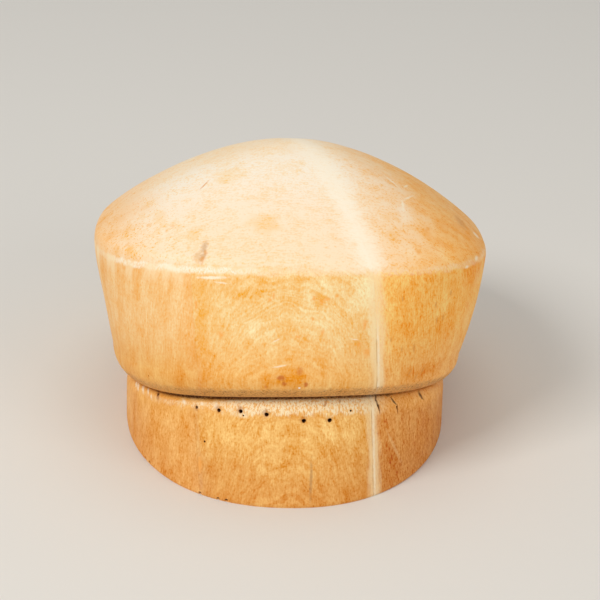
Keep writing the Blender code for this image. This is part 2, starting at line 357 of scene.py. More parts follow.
def wood(name, heart, upper, lower, base, foot, crown, honey, honey_from, honey_to, sapwood, figure,
         dashed, marks, honey_back=0.0):
    """Bare worn hardwood. The heart of the tree is a point on the bench in mm, and the colours run from the
    upper side wall down to the foot of the base. Honey grows over the crown's own colour from one place
    across to another, and farther at the back by honey_back."""
    material = bpy.data.materials.new(name)
    material.use_nodes = True
    nodes, links = material.node_tree.nodes, material.node_tree.links
    surface = nodes["Principled BSDF"]

    def put(socket, value):
        if isinstance(value, bpy.types.NodeSocket):
            links.new(value, socket)
        else:
            socket.default_value = value

    def math_node(operation, first, second=0.0):
        node = nodes.new("ShaderNodeMath")
        node.operation = operation
        put(node.inputs[0], first)
        put(node.inputs[1], second)
        return node.outputs[0]

    def vector_node(operation, first, second):
        node = nodes.new("ShaderNodeVectorMath")
        node.operation = operation
        put(node.inputs[0], first)
        put(node.inputs[1], second)
        return node.outputs["Value" if operation in ("DOT_PRODUCT", "LENGTH") else "Vector"]

    def speckle(place, scale, detail):
        node = nodes.new("ShaderNodeTexNoise")
        put(node.inputs["Vector"], place)
        put(node.inputs["Scale"], scale)
        put(node.inputs["Detail"], detail)
        return node.outputs["Fac"]

    def fibre_speckle(squeeze, scale, detail):
        """A speckle drawn out along the upright fibre."""
        return speckle(vector_node("MULTIPLY", here, (1.0, 1.0, squeeze)), scale, detail)

    def spread(value, low, high, to_low=0.0, to_high=1.0):
        """A smooth step from one limit to the other: mm for places, 0 to 1 for noises."""
        node = nodes.new("ShaderNodeMapRange")
        node.interpolation_type = "SMOOTHSTEP"
        for socket, number in zip(node.inputs[:5], (value, low, high, to_low, to_high)):
            put(socket, number)
        return node.outputs[0]

    def swing(value, amount):
        """A noise's swing about its middle, as a change of tone, or of place in mm."""
        middle_tone = 0.5
        return math_node("MULTIPLY", math_node("SUBTRACT", value, middle_tone), amount)

    def total(*values):
        answer = values[0]
        for value in values[1:]:
            answer = math_node("ADD", answer, value)
        return answer

    def times(*values):
        answer = values[0]
        for value in values[1:]:
            answer = math_node("MULTIPLY", answer, value)
        return answer

    def scaled(vector, amount):
        node = nodes.new("ShaderNodeVectorMath")
        node.operation = "SCALE"
        put(node.inputs[0], vector)
        put(node.inputs["Scale"], amount)
        return node.outputs[0]

    def blend(share, first, second):
        node = nodes.new("ShaderNodeMix")
        node.data_type = "RGBA"
        factor, colour_a, colour_b, mixed = 0, 6, 7, 2
        put(node.inputs[factor], share)
        put(node.inputs[colour_a], (*first, 1) if isinstance(first, tuple) else first)
        put(node.inputs[colour_b], (*second, 1) if isinstance(second, tuple) else second)
        return node.outputs[mixed]

    def attribute(label):
        node = nodes.new("ShaderNodeAttribute")
        node.attribute_name = label
        return node.outputs["Fac"]

    def mark(place, flat, uneven):
        """One mark on the wood, upright on the sides and lying flat on the crown."""
        x, y, z, wide, long, slant = place
        least_depth, depth_for_width = 3.5, 0.4
        edge_ends, edge_starts = 1.35, 0.25
        node = nodes.new("ShaderNodeMapping")
        node.vector_type = "TEXTURE"
        links.new(here, node.inputs["Vector"])
        deep = least_depth + depth_for_width * wide
        turn = math.radians(slant)
        half_size = (wide / 2, long / 2, deep) if flat else (wide / 2, deep, long / 2)
        node.inputs["Location"].default_value = (x, y, z)
        node.inputs["Rotation"].default_value = (0, 0, -turn) if flat else (0, turn, 0)
        node.inputs["Scale"].default_value = half_size
        far = vector_node("LENGTH", node.outputs[0], (0, 0, 0))
        return spread(math_node("ADD", far, uneven), edge_ends, edge_starts)

    mm_in_a_metre = 1000.0
    here = vector_node("MULTIPLY", nodes.new("ShaderNodeTexCoord").outputs["Object"], (mm_in_a_metre,) * 3)
    over_groove = attribute("over_groove")
    over_crease = attribute("over_crease")
    split = nodes.new("ShaderNodeSeparateXYZ")
    links.new(here, split.inputs[0])
    across, back, height = split.outputs

    # The colours of the wood: side wall, base, and the bleached crown with honey brown towards its end
    upper_to_lower, lower_to_base, base_to_foot = (44.0, 6.0), (-4.0, -12.0), (38.0, 2.0)
    middle_to_front, middle_to_back, wall_to_crown = (8.0, -96.0), (-16.0, 16.0), (-1.8, 2.2)
    unchanged, front_honey, back_honey = (1.0, 1.0, 1.0), (0.01, 0.15, 0.31), (0.0, 0.10, 0.24)
    mottle = fibre_speckle(squeeze=0.6, scale=0.17, detail=3.0)
    patch = speckle(here, scale=0.045, detail=2.0)
    dashes = fibre_speckle(squeeze=0.16, scale=1.5, detail=2.0)
    colour = blend(spread(over_groove, *upper_to_lower), upper, lower)
    colour = blend(spread(total(over_groove, swing(mottle, 6.0)), *lower_to_base), colour, base)
    colour = blend(spread(total(height, swing(patch, 30.0)), *base_to_foot), colour, foot)
    sunned = vector_node("SUBTRACT", unchanged, scaled(front_honey, spread(back, *middle_to_front)))
    farther_back = spread(back, -36.0, 20.0, to_low=0.0, to_high=honey_back)
    toward_end = spread(total(across, farther_back, swing(patch, 34.0), swing(mottle, 18.0)),
                        honey_from, honey_to)
    sunned = vector_node("SUBTRACT", sunned, scaled(back_honey, spread(back, *middle_to_back)))
    crown_colour = blend(toward_end, vector_node("MULTIPLY", crown, sunned), honey)
    ragged = total(swing(speckle(here, scale=0.35, detail=3.0), 4.0), swing(dashes, 3.0),
                   spread(across, 20.0, -10.0, to_low=0.0, to_high=-0.8))
    on_crown = spread(total(over_crease, ragged), *wall_to_crown)
    colour = blend(on_crown, colour, crown_colour)

    # The growth rings: rings round the heart that wander a little, strongest straight in front of it
    fine_dots = speckle(here, scale=0.95, detail=1.0)
    dots = spread(fine_dots, 0.60, 0.74)
    ring_wander, rings_in_a_mm, ring_detail = 6.0, 1.1, 1.0
    ring_edges, clear_of_heart, near_heart, least_rings = (0.36, 0.64), 50.0, 12.0, 0.2
    from_heart = vector_node("MULTIPLY", vector_node("SUBTRACT", here, (*heart, 0.0)), (1.0, 1.0, 0.0))
    ring_node = nodes.new("ShaderNodeTexNoise")
    ring_node.noise_dimensions = "1D"
    ring_distance = total(vector_node("LENGTH", from_heart, (0, 0, 0)),
                          swing(speckle(here, scale=0.06, detail=2.0), ring_wander))
    put(ring_node.inputs["W"], ring_distance)
    put(ring_node.inputs["Scale"], rings_in_a_mm)
    put(ring_node.inputs["Detail"], ring_detail)
    beside_heart = math_node("ABSOLUTE", math_node("SUBTRACT", across, heart[0]))
    rings_near = spread(beside_heart, clear_of_heart, near_heart, to_low=least_rings)
    ring_tone = math_node("SUBTRACT", spread(ring_node.outputs["Fac"], *ring_edges), 0.5)
    growth = times(ring_tone, rings_near)

    # The grain: fibre dashes, dots, mottle and patches, weaker on the crown's end grain
    streaks = fibre_speckle(squeeze=0.02, scale=0.4, detail=2.0)
    broad_streaks = fibre_speckle(squeeze=0.22, scale=0.11, detail=3.0)
    long_dashes = spread(fibre_speckle(squeeze=0.17, scale=0.75, detail=2.0), 0.58, 0.70)
    clean_middle = 33.0
    beside_clean = math_node("ABSOLUTE", math_node("SUBTRACT", across, clean_middle))
    under_crease = times(spread(over_crease, -17.0, -8.0), spread(over_crease, -0.5, -3.0),
                         spread(broad_streaks, 0.3, 0.6), spread(beside_clean, 16.0, 27.0, to_low=0.15))
    short_dashes = fibre_speckle(squeeze=0.4, scale=1.3, detail=2.0)
    fine_figure = total(swing(dashes, 1.3), swing(short_dashes, 0.8), swing(fine_dots, 0.8),
                        times(dots, 0.22))
    side_grain = total(times(fine_figure, figure), swing(streaks, 0.6), swing(broad_streaks, 1.15),
                       swing(mottle, 0.8), times(growth, 0.33), times(long_dashes, dashed),
                       times(under_crease, 0.26))
    flecks = speckle(vector_node("MULTIPLY", here, (0.32, 1.0, 1.0)), scale=1.0, detail=2.0)
    ends = spread(math_node("ABSOLUTE", across), 30.0, 80.0, to_low=0.15)
    crown_grain = total(times(total(swing(flecks, 0.85), swing(fine_dots, 0.75)), figure),
                        times(dots, ends, 0.60), swing(mottle, 0.42), swing(patch, 0.5),
                        times(swing(mottle, 0.8), ends), times(growth, 0.06))
    palest_on_crown, stronger_on_base = -0.07, 1.45
    crown_grain = math_node("MAXIMUM", crown_grain, palest_on_crown)
    side_grain = times(side_grain, spread(over_groove, -5.0, -12.0, to_low=1.0, to_high=stronger_on_base))
    on_side = math_node("SUBTRACT", 1.0, on_crown)
    # The stain attribute also holds painted shade on the right plank's far side
    grain = total(times(side_grain, on_side), times(crown_grain, on_crown), attribute("stain_and_shade"))
    wall_reddening, base_reddening = (0.06, 0.46, 1.12), (0.19, 0.50, 1.10)
    reddening = blend(spread(over_groove, 34.0, -6.0), wall_reddening, base_reddening)
    grain_tint = vector_node("SUBTRACT", unchanged, scaled(reddening, grain))
    colour = vector_node("MULTIPLY", colour, grain_tint)

    # The crease round the crown is rubbed pale and painted as a highlight, most of all on the left of the
    # front, where the window lamp falls, with a broader band of painted highlight and handling wear below
    # it
    rubbed_highlight_cream, handled_highlight_cream = (1.0, 0.91, 0.74), (0.98, 0.76, 0.46)
    off_crease = math_node("ABSOLUTE", total(over_crease, 0.5, swing(mottle, 4.0)))
    rubbed_highlight = times(spread(off_crease, 2.4, 0.5), spread(short_dashes, 0.36, 0.56, to_low=0.25),
                   spread(across, -4.0, -36.0, to_low=0.28), spread(across, -98.0, -80.0, to_low=0.2))
    colour = blend(rubbed_highlight, colour, rubbed_highlight_cream)
    # Painted highlight with handling wear: a broader pale band below the crease on the left
    handled_highlight = times(spread(over_crease, -12.0, -1.0), spread(over_crease, 1.5, 0.0),
                    spread(across, -8.0, -40.0),
                    spread(broad_streaks, 0.36, 0.58, to_low=0.75, to_high=0.2))
    colour = blend(handled_highlight, colour, handled_highlight_cream)

    # Sapwood on both sides of a glue joint is nearly white, and the old glue is a thin brown line
    side_sapwood, crown_sapwood, clear_sapwood = (1.0, 0.79, 0.46), (1.0, 0.90, 0.72), (1.0, 0.86, 0.62)
    glue_brown, glue_strength, left_joint_strength = (0.40, 0.19, 0.065), 0.58, 0.08
    for joint, strength in ((right_joint, sapwood), (left_joint, left_joint_strength)):
        away = math_node("SUBTRACT", vector_node("DOT_PRODUCT", here, joint_direction), joint + joint_zero)
        apart = math_node("ABSOLUTE", away)
        wander = swing(streaks, 5.0)
        reach = times(apart, spread(away, -0.5, 0.5, to_low=1.0, to_high=0.66),
                      spread(over_groove, -2.0, -10.0, to_low=1.0, to_high=1.22))
        pale = times(spread(total(reach, wander), 5.0, 0.8), math_node("SUBTRACT", 1.0, on_crown), strength,
                     spread(away, -0.6, 0.6, to_low=0.85))
        colour = blend(times(pale, spread(dashes, 0.3, 0.6, to_low=0.75)), colour, side_sapwood)
        pale_edge = total(apart, swing(mottle, 6.0), swing(flecks, 5.0))
        pale_end = times(spread(pale_edge, 12.0, 0.5), on_crown, strength)
        colour = blend(pale_end, colour, crown_sapwood)
        low_down = spread(over_groove, 46.0, 30.0)
        bright = times(spread(away, 0.1, 0.5), spread(away, 1.9, 1.1),
                       spread(dashes, 0.35, 0.6, to_low=0.35, to_high=0.95), low_down)
        colour = blend(times(bright, strength), colour, clear_sapwood)
        old_glue = times(spread(apart, 0.36, 0.12), low_down, spread(mottle, 0.40, 0.58, to_low=0.25),
                         strength, glue_strength)
        colour = blend(old_glue, colour, glue_brown)

    # Below the groove the cord and the pins tore pale fibres up
    torn_cream, torn_red, torn_red_strength = (1.0, 0.81, 0.51), (0.74, 0.32, 0.08), 0.6
    torn = fibre_speckle(squeeze=0.30, scale=1.15, detail=3.0)
    clumps = speckle(here, scale=0.22, detail=2.0)
    slope_edge = total(over_groove, swing(torn, 4.0), swing(clumps, 7.0))
    slope_foot = total(slope_edge, spread(across, -24.0, -44.0, to_low=0.0, to_high=-3.4))
    slope_head = total(over_groove, swing(torn, 1.6), spread(across, -26.0, -46.0, to_low=0.0, to_high=1.6))
    slope = times(spread(slope_foot, -10.0, -6.6), spread(slope_head, -0.9, -1.8))
    slope = times(slope, spread(across, -84.0, -44.0), spread(across, 54.0, 34.0),
                  spread(across, -14.0, -36.0, to_low=1.0, to_high=0.66))
    colour = blend(times(slope, spread(torn, 0.37, 0.57, to_low=0.12)), colour, torn_cream)
    reddened = times(slope, spread(short_dashes, 0.56, 0.68))
    colour = blend(times(reddened, torn_red_strength), colour, torn_red)

    # Above the groove the rasp left a brown band with scratches and pits, and dirt and painted shade darken
    # the groove
    rasp_brown, scratch_brown, pit_brown = (0.71, 0.365, 0.11), (0.30, 0.11, 0.024), (0.24, 0.08, 0.016)
    rasp_strength, scratch_strength, pit_strength, groove_dirt_and_shade_brown = 0.62, 0.55, 0.60, (0.15, 0.032, 0.002)
    rasp_edge = total(over_groove, swing(speckle(here, scale=0.5, detail=3.0), 3.0))
    rasped = times(spread(rasp_edge, 8.0, 5.0), spread(over_groove, -1.0, 0.0),
                   spread(across, -36.0, -58.0, to_low=1.0, to_high=0.55))
    scratches = speckle(vector_node("MULTIPLY", here, (0.5, 0.5, 1.3)), scale=1.5, detail=3.0)
    pits = fibre_speckle(squeeze=0.5, scale=1.0, detail=3.0)
    scratched = times(rasped, spread(scratches, 0.40, 0.66, to_low=0.0, to_high=scratch_strength))
    pitted = times(rasped, spread(pits, 0.54, 0.66, to_low=0.0, to_high=pit_strength))
    colour = blend(times(rasped, rasp_strength), colour, rasp_brown)
    colour = blend(scratched, colour, scratch_brown)
    colour = blend(pitted, colour, pit_brown)
    # Painted shade with dirt: a dark brown line along the groove where its gap lies in shadow, strongest
    # across the middle of the front
    dirt_and_shade_edge = total(over_groove, swing(torn, 1.6))
    dirt_and_shade = times(spread(dirt_and_shade_edge, -1.45, -0.75), spread(dirt_and_shade_edge, 1.2, 0.6))
    dirt_and_shade = times(dirt_and_shade, spread(across, -74.0, -48.0, to_low=0.20, to_high=0.97),
                 spread(across, 70.0, 34.0, to_low=0.35))
    colour = blend(dirt_and_shade, colour, groove_dirt_and_shade_brown)

    # Stains, scratches and knots
    uneven = swing(speckle(here, scale=0.8, detail=3.0), 1.3)
    for mark_colour, strength, flat, places in marks:
        share = mark(places[0], flat, uneven)
        for place in places[1:]:
            share = math_node("MAXIMUM", share, mark(place, flat, uneven))
        colour = blend(times(share, strength), colour, mark_colour)

    # Painted shade inside the pin holes, the splits and the chips: darker brown the deeper below the carved
    # surface
    hole_shade_brown, open_from, open_to = (0.13, 0.045, 0.015), 0.15, 0.9
    colour = blend(spread(attribute("sunk"), open_from, open_to), colour, hole_shade_brown)
    links.new(colour, surface.inputs["Base Color"])

    # Worn smooth but unpolished, with the fibre and the growth rings just felt
    shine, smoothest, roughest = 0.22, 0.45, 0.62
    fibre_strength, fibre_height, rings_felt = 0.3, 0.0003, 0.3
    surface.inputs["Specular IOR Level"].default_value = shine
    links.new(spread(mottle, 0.3, 0.7, smoothest, roughest), surface.inputs["Roughness"])
    bump = nodes.new("ShaderNodeBump")
    bump.inputs["Strength"].default_value = fibre_strength
    bump.inputs["Distance"].default_value = fibre_height
    links.new(math_node("ADD", dashes, times(growth, rings_felt)), bump.inputs["Height"])
    links.new(bump.outputs["Normal"], surface.inputs["Normal"])
    return material


# The middle plank
# The broad plank that carries the growth arches, from the base through the groove to the crown. The stand's
# socket is bored up into it from the underside. It is glued between the two outer planks.
def cut_from_blank(name, low, high):
    """One plank of the carved blank, between the joints at low and high across the fibre, or None."""
    merge_distance = 1e-7
    plank = bmesh.new()
    plank.from_mesh(blank_mesh)
    for joint, side in ((low, -1), (high, 1)):
        if joint is None:
            continue
        cut = (joint_zero + joint - side * glue_line / 2) * MM
        direction = Vector(joint_direction)
        bmesh.ops.bisect_plane(plank, geom=plank.verts[:] + plank.edges[:] + plank.faces[:],
                               dist=merge_distance, plane_co=direction * cut, plane_no=direction * side,
                               clear_outer=True)
        bmesh.ops.holes_fill(plank, edges=[edge for edge in plank.edges if edge.is_boundary], sides=0)
    bmesh.ops.recalc_face_normals(plank, faces=plank.faces)
    mesh = bpy.data.meshes.new(name)
    plank.to_mesh(mesh)
    plank.free()
    piece = bpy.data.objects.new(name, mesh)
    bpy.context.collection.objects.link(piece)
    return piece


def bore(piece, cutter):
    """The cutter's holes, made in the piece's own mesh."""
    tool = piece.modifiers.new("bore", "BOOLEAN")
    tool.object = cutter
    tool.solver = "EXACT"
    mesh = bpy.data.meshes.new_from_object(piece.evaluated_get(bpy.context.evaluated_depsgraph_get()))
    piece.modifiers.clear()
    piece.data = mesh


def stain_and_shade_at(points, stains_and_shade):
    """How much deeper, or paler below zero, the honey colour is in the soft stains of the wood and in the
    painted shade listed with them.
    """
    wobble, wobble_size, fine, edge_ends, edge_width, far_enough = 0.45, 5.0, 3, 1.4, 1.1, 1.9
    stain_and_shade = np.zeros(len(points))
    for amount, places in stains_and_shade:
        for place in places:
            far = np.linalg.norm((points - place[:3]) / (np.array(place[3:]) / 2), axis=1)
            for index in np.flatnonzero(far < far_enough):
                reach = far[index] + wobble * roughness_at(points[index], wobble_size, fine)
                share = min(max((edge_ends - reach) / edge_width, 0), 1)
                stain_and_shade[index] += amount * share * share * (3 - 2 * share)
    return stain_and_shade


def finish_plank(piece, material, node, stains_and_shade):
    """Places on the hat for the wood's colours, smooth shading, and the ties to the frame."""
    socket_clearance, sharp_edge = 30.0, math.radians(42)
    mesh = piece.data
    points = np.empty(len(mesh.vertices) * 3)
    mesh.vertices.foreach_get("co", points)
    points = points.reshape(-1, 3)
    over_groove, over_crease = place_on_hat(points / MM)
    sunk = np.array([carved_surface.find_nearest(Vector(point))[3] for point in points]) / MM
    sunk[np.hypot(*(points[:, :2] / MM - socket_place[:2]).T) < socket_clearance] = 0
    stain_and_shade = stain_and_shade_at(points / MM, stains_and_shade)
    for label, values in (("over_groove", over_groove), ("over_crease", over_crease),
                          ("sunk", sunk), ("stain_and_shade", stain_and_shade)):
        layer = mesh.attributes.new(label, "FLOAT", "POINT")
        layer.data.foreach_set("value", values.astype(np.float32))
    mesh.materials.clear()
    mesh.materials.append(material)
    mesh.shade_smooth()
    mesh.set_sharp_from_angle(angle=sharp_edge)
    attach(piece, "root")
    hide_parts(node)


socket_radius, socket_depth, socket_sides = 12.7, 50.0, 64
socket_tool = bmesh.new()
bmesh.ops.create_cone(socket_tool, cap_ends=True, segments=socket_sides, radius1=socket_radius * MM,
                      radius2=socket_radius * MM, depth=2 * socket_depth * MM,
                      matrix=Matrix.Translation(Vector(socket_place) * MM))
socket_mesh = bpy.data.meshes.new("socket_tool")
socket_tool.to_mesh(socket_mesh)
socket_tool.free()
socket_cutter = bpy.data.objects.new("socket_tool", socket_mesh)
bpy.context.collection.objects.link(socket_cutter)

middle = cut_from_blank("carved_middle_plank", left_joint, right_joint)
bore(middle, socket_cutter)
bore(middle, hole_cutter)
# Stains: how much deeper or paler, and for each its middle and its size across, back and up, in mm.
middle_stains = [
    (0.60, [(-42.9, -99.5, 64.3, 13, 10, 24), (3.0, -108.5, 70.0, 20, 8, 11)]),
    (0.35, [
        (-27.1, -106.0, 66.4, 13, 8, 9), (-8.7, -108.8, 68.5, 10, 8, 8), (16.1, -104.8, 79.0, 8, 8, 12),
        (34.8, -98.3, 86.0, 6, 8, 13), (-43.3, -94.7, 86.0, 8, 10, 26), (34.5, -103.2, 20.9, 7, 8, 14),
        (-35.1, -103.2, 14.0, 12, 10, 8), (15.0, -95.6, 106.4, 7, 6, 6), (-41.5, -96.0, 91.0, 17, 12, 46)]),
    (0.25, [
        (0.0, -96.7, 104.4, 14, 8, 10), (14.2, -94.7, 109.1, 8, 8, 5), (-26.0, -94.2, 107.0, 14, 8, 5),
        (1.7, -100.7, 93.4, 7, 6, 4), (7.2, -102.7, 87.5, 5, 6, 5), (-48.0, -93.2, 33.8, 12, 12, 14),
        (22.6, -104.6, 28.0, 8, 8, 9), (-26.0, -107.0, 21.3, 7, 8, 6), (-0.3, -93.5, 113.4, 9, 8, 6),
        (10.5, -96.5, 104.5, 7, 8, 6)]),
    (-0.25, [
        (-19.5, -93.0, 112.6, 12, 8, 7), (19.0, -93.5, 112.3, 13, 8, 7), (30.7, -93.6, 105.3, 14, 10, 13),
        (-15.1, -100.6, 92.3, 14, 10, 12), (13.7, -100.3, 94.0, 11, 8, 8), (6.5, -105.4, 42.7, 18, 8, 8),
        (21.4, -103.8, 38.3, 22, 12, 12), (29.1, -102.8, 33.2, 13, 12, 10)]),
    (-0.12, [(-20.0, -106.5, 34.6, 60, 26, 3.0), (-10.0, -107.0, 40.0, 30, 10, 4)]),
    (-0.45, [(37.0, -91.0, 111.0, 15, 10, 14)]),
    (-0.20, [
        (-15.1, -100.6, 92.3, 12, 10, 10), (-19.5, -93.0, 112.6, 10, 8, 6), (-23.0, -102.3, 44.0, 9, 9, 8),
        (16.5, -105.4, 37.2, 16, 9, 8), (26.0, -101.5, 44.5, 12, 9, 6)]),
    (0.30, [
        (-43.0, -97.5, 31.0, 12, 12, 14), (0.0, -110.0, 22.0, 8, 8, 8), (24.0, -106.0, 23.0, 7, 8, 8),
        (-12.7, -64.6, 131.9, 17, 15, 8), (-30.0, -20.0, 136.0, 16, 20, 8),
        (-48.0, -66.0, 126.0, 8, 9, 8)]),
]
# Marks: colour, strength, whether on a side or the crown, and for each its middle, width, length and slant.
side_mark, crown_mark = False, True
knot_brown = (0.57, 0.15, 0.022)
knot_rim = (0.70, 0.23, 0.035)
honey_spot = (0.95, 0.40, 0.075)
pale_scratch = (1.0, 0.90, 0.70)
pale_dent = (1.0, 0.93, 0.74)
torn_fleck = (1.0, 0.88, 0.66)
# A painted glint: a tiny white spot of caught light
painted_glint = (1.0, 0.97, 0.90)
dark_streak = (0.44, 0.24, 0.10)
pin_edge = (0.42, 0.15, 0.04)
smudge_grey = (0.58, 0.34, 0.17)
smudge_edge = (0.76, 0.47, 0.22)
smudge_heart = (0.72, 0.28, 0.04)
brown_scratch = (0.78, 0.36, 0.10)
faint_spot = (0.90, 0.55, 0.22)
middle_marks = [
    (knot_brown, 0.85, side_mark, [
        (-3.4, -108.8, 70.7, 5.0, 3.0, 0), (-1.9, -109.2, 67.7, 2.4, 2.8, 0),
        (8.7, -108.9, 67.3, 2.4, 3.2, 0)]),
    (knot_rim, 0.75, side_mark, [(5.6, -107.5, 73.8, 3.4, 5.0, 0), (-10.6, -108.7, 65.5, 1.8, 1.8, 0)]),
    (honey_spot, 0.70, side_mark, [
        (15.3, -95.8, 105.9, 3.0, 2.8, 0), (17.8, -95.1, 107.0, 3.4, 1.6, 0),
        (22.4, -94.1, 108.5, 2.0, 1.6, 0), (11.4, -95.2, 107.4, 1.8, 2.8, 0),
        (-9.7, -96.0, 106.3, 2.4, 1.8, 0), (-8.0, -95.3, 108.2, 1.4, 3.2, 0),
        (11.2, -98.7, 98.1, 1.4, 2.2, 0), (16.2, -100.4, 92.0, 1.6, 3.0, 10),
        (4.2, -101.9, 89.8, 2.8, 1.2, 10), (36.5, -95.6, 93.9, 2.0, 6.0, 8),
        (38.0, -98.6, 80.2, 3.2, 5.0, -10), (33.9, -98.9, 84.9, 2.0, 3.0, 20),
        (-45.4, -91.0, 100.0, 1.6, 5.0, 0), (-42.6, -100.9, 15.4, 2.4, 9.0, 0),
        (-33.0, -99.0, 88.0, 2.4, 4.0, 0)]),
    (pale_scratch, 0.60, side_mark, [
        (-6.0, -102.7, 87.9, 4.2, 0.9, -28), (31.8, -98.8, 87.5, 4.0, 0.9, 12),
        (-4.0, -107.2, 76.0, 8.0, 0.9, -12), (-33.5, -91.0, 112.4, 8.0, 1.0, 0)]),
    (pale_dent, 0.80, side_mark, [(-37.9, -89.4, 114.1, 15.0, 1.5, -8)]),
    (torn_fleck, 0.70, side_mark, [(-42.2, -92.6, 46.2, 2.0, 1.5, 0), (-35.1, -96.7, 47.4, 2.0, 2.6, 15)]),
    # Painted highlight: a tiny white glint on the lower rim
    (painted_glint, 0.85, side_mark, [(5.6, -108.8, 65.4, 1.2, 1.2, 0)]),
    (dark_streak, 0.55, side_mark, [(12.8, -111.1, 14.6, 1.7, 26.0, 0)]),
    (pin_edge, 0.60, side_mark, [
        (-33.8, -98.2, 46.3, 3.4, 3.8, 0), (-23.0, -101.6, 48.0, 3.8, 4.2, 25),
        (-10.2, -104.0, 48.0, 3.8, 4.2, 0), (8.0, -104.6, 45.2, 3.8, 3.6, -30),
        (20.8, -103.0, 44.6, 3.8, 3.4, 0), (-45.0, -92.4, 43.6, 2.4, 3.6, 0),
        (19.0, -99.8, 52.6, 1.3, 1.6, 0), (18.3, -100.8, 51.6, 1.5, 1.2, 0),
        (25.9, -97.8, 52.2, 1.0, 1.4, 0)]),
    (smudge_grey, 0.62, crown_mark, [
        (-42.2, -77.0, 124.2, 3.6, 10.0, 8), (-42.8, -82.6, 122.0, 3.8, 6.0, 20)]),
    (smudge_edge, 0.70, crown_mark, [(-45.4, -81.7, 121.9, 5.0, 6.0, 0)]),
    (smudge_heart, 0.60, crown_mark, [
        (-41.5, -80.4, 123.0, 2.0, 3.2, 0), (-42.8, -83.6, 121.3, 2.4, 3.2, 0)]),
    (brown_scratch, 0.80, crown_mark, [(-44.6, -26.8, 135.0, 1.2, 10.0, 30)]),
    (faint_spot, 0.60, crown_mark, [(-50.0, -75.0, 122.0, 2.2, 3.4, 0)]),
]
middle_wood = wood("middle_wood", heart=(2.0, -203.0), upper=(0.94, 0.62, 0.26), lower=(0.91, 0.48, 0.135),
                   base=(0.90, 0.48, 0.13), foot=(0.78, 0.35, 0.08), crown=(0.975, 0.86, 0.69),
                   honey=(0.97, 0.60, 0.28), honey_from=-58.0, honey_to=-104.0, sapwood=0.75,
                   figure=0.9, dashed=0.10, marks=middle_marks)
finish_plank(middle, middle_wood, "middle_plank", middle_stains)

# The right plank
# The outer plank on the right, of the same hardwood but redder than the middle one. Its deeper colours on
# the wall, base and foot are partly painted shade on the side turned away from the window lamp. It is glued
# edge to edge to the middle plank, and a band of its pale sapwood lies along that joint.
right = cut_from_blank("carved_right_plank", right_joint, None)
bore(right, hole_cutter)
right_stains_and_shade = [
    (0.30, [
        # The place 78 across and 78 up on the next line is painted shade on the far right of the wall
        (63.5, -81.0, 100.8, 9, 9, 15), (60.1, -85.4, 86.4, 9, 9, 10), (78.0, -68.8, 78.0, 12, 14, 22),
        (59.3, -87.7, 64.1, 5, 8, 9), (67.9, -78.8, 59.4, 5, 8, 8), (74.0, -72.0, 84.0, 7, 9, 9),
        (57.5, -88.7, 10.7, 9, 9, 10), (67.5, -48.8, 122.5, 7, 13, 8), (62.1, -68.0, 120.5, 4, 4, 5),
        (76.0, -52.0, 118.0, 14, 6, 10), (86.0, -26.0, 112.6, 14, 10, 12), (51.0, -12.2, 131.9, 9, 6, 8),
        (46.6, -49.6, 130.4, 6, 7, 6), (52.7, -48.9, 128.6, 4, 5, 5), (63.0, -27.7, 126.4, 12, 16, 10),
        (50.0, -63.0, 126.0, 8, 8, 8), (76.0, -34.0, 119.5, 10, 16, 10)]),
    (-0.25, [
        (48.1, -86.8, 111.4, 13, 10, 12), (46.0, -90.0, 100.0, 8, 8, 20), (46.5, -94.5, 31.0, 8, 10, 30),
        (69.0, -76.5, 106.0, 12, 12, 7), (57.0, -44.0, 128.0, 8, 16, 8), (57.5, -70.5, 121.0, 13, 9, 8),
        (76.0, -62.0, 115.5, 13, 8, 10)]),
    (0.35, [(66.0, -82.0, 60.0, 22, 24, 9), (76.0, -69.0, 57.0, 16, 20, 10)]),
    # Painted shade: these deepen the honey on the far right of the wall and crown, turned away from the
    # window lamp
    (0.25, [
        (86.0, -56.0, 86.0, 16, 34, 60), (97.0, -22.0, 103.0, 22, 70, 30),
        (88.0, -8.0, 109.5, 12, 24, 10)]),
]
fibre_dash = (0.74, 0.30, 0.06)
split_shade = (0.14, 0.05, 0.015)
brown_patch = (0.62, 0.31, 0.11)
long_scratch = (0.97, 0.66, 0.30)
crown_dash = (0.92, 0.42, 0.10)
edge_nick = (1.0, 0.88, 0.64)
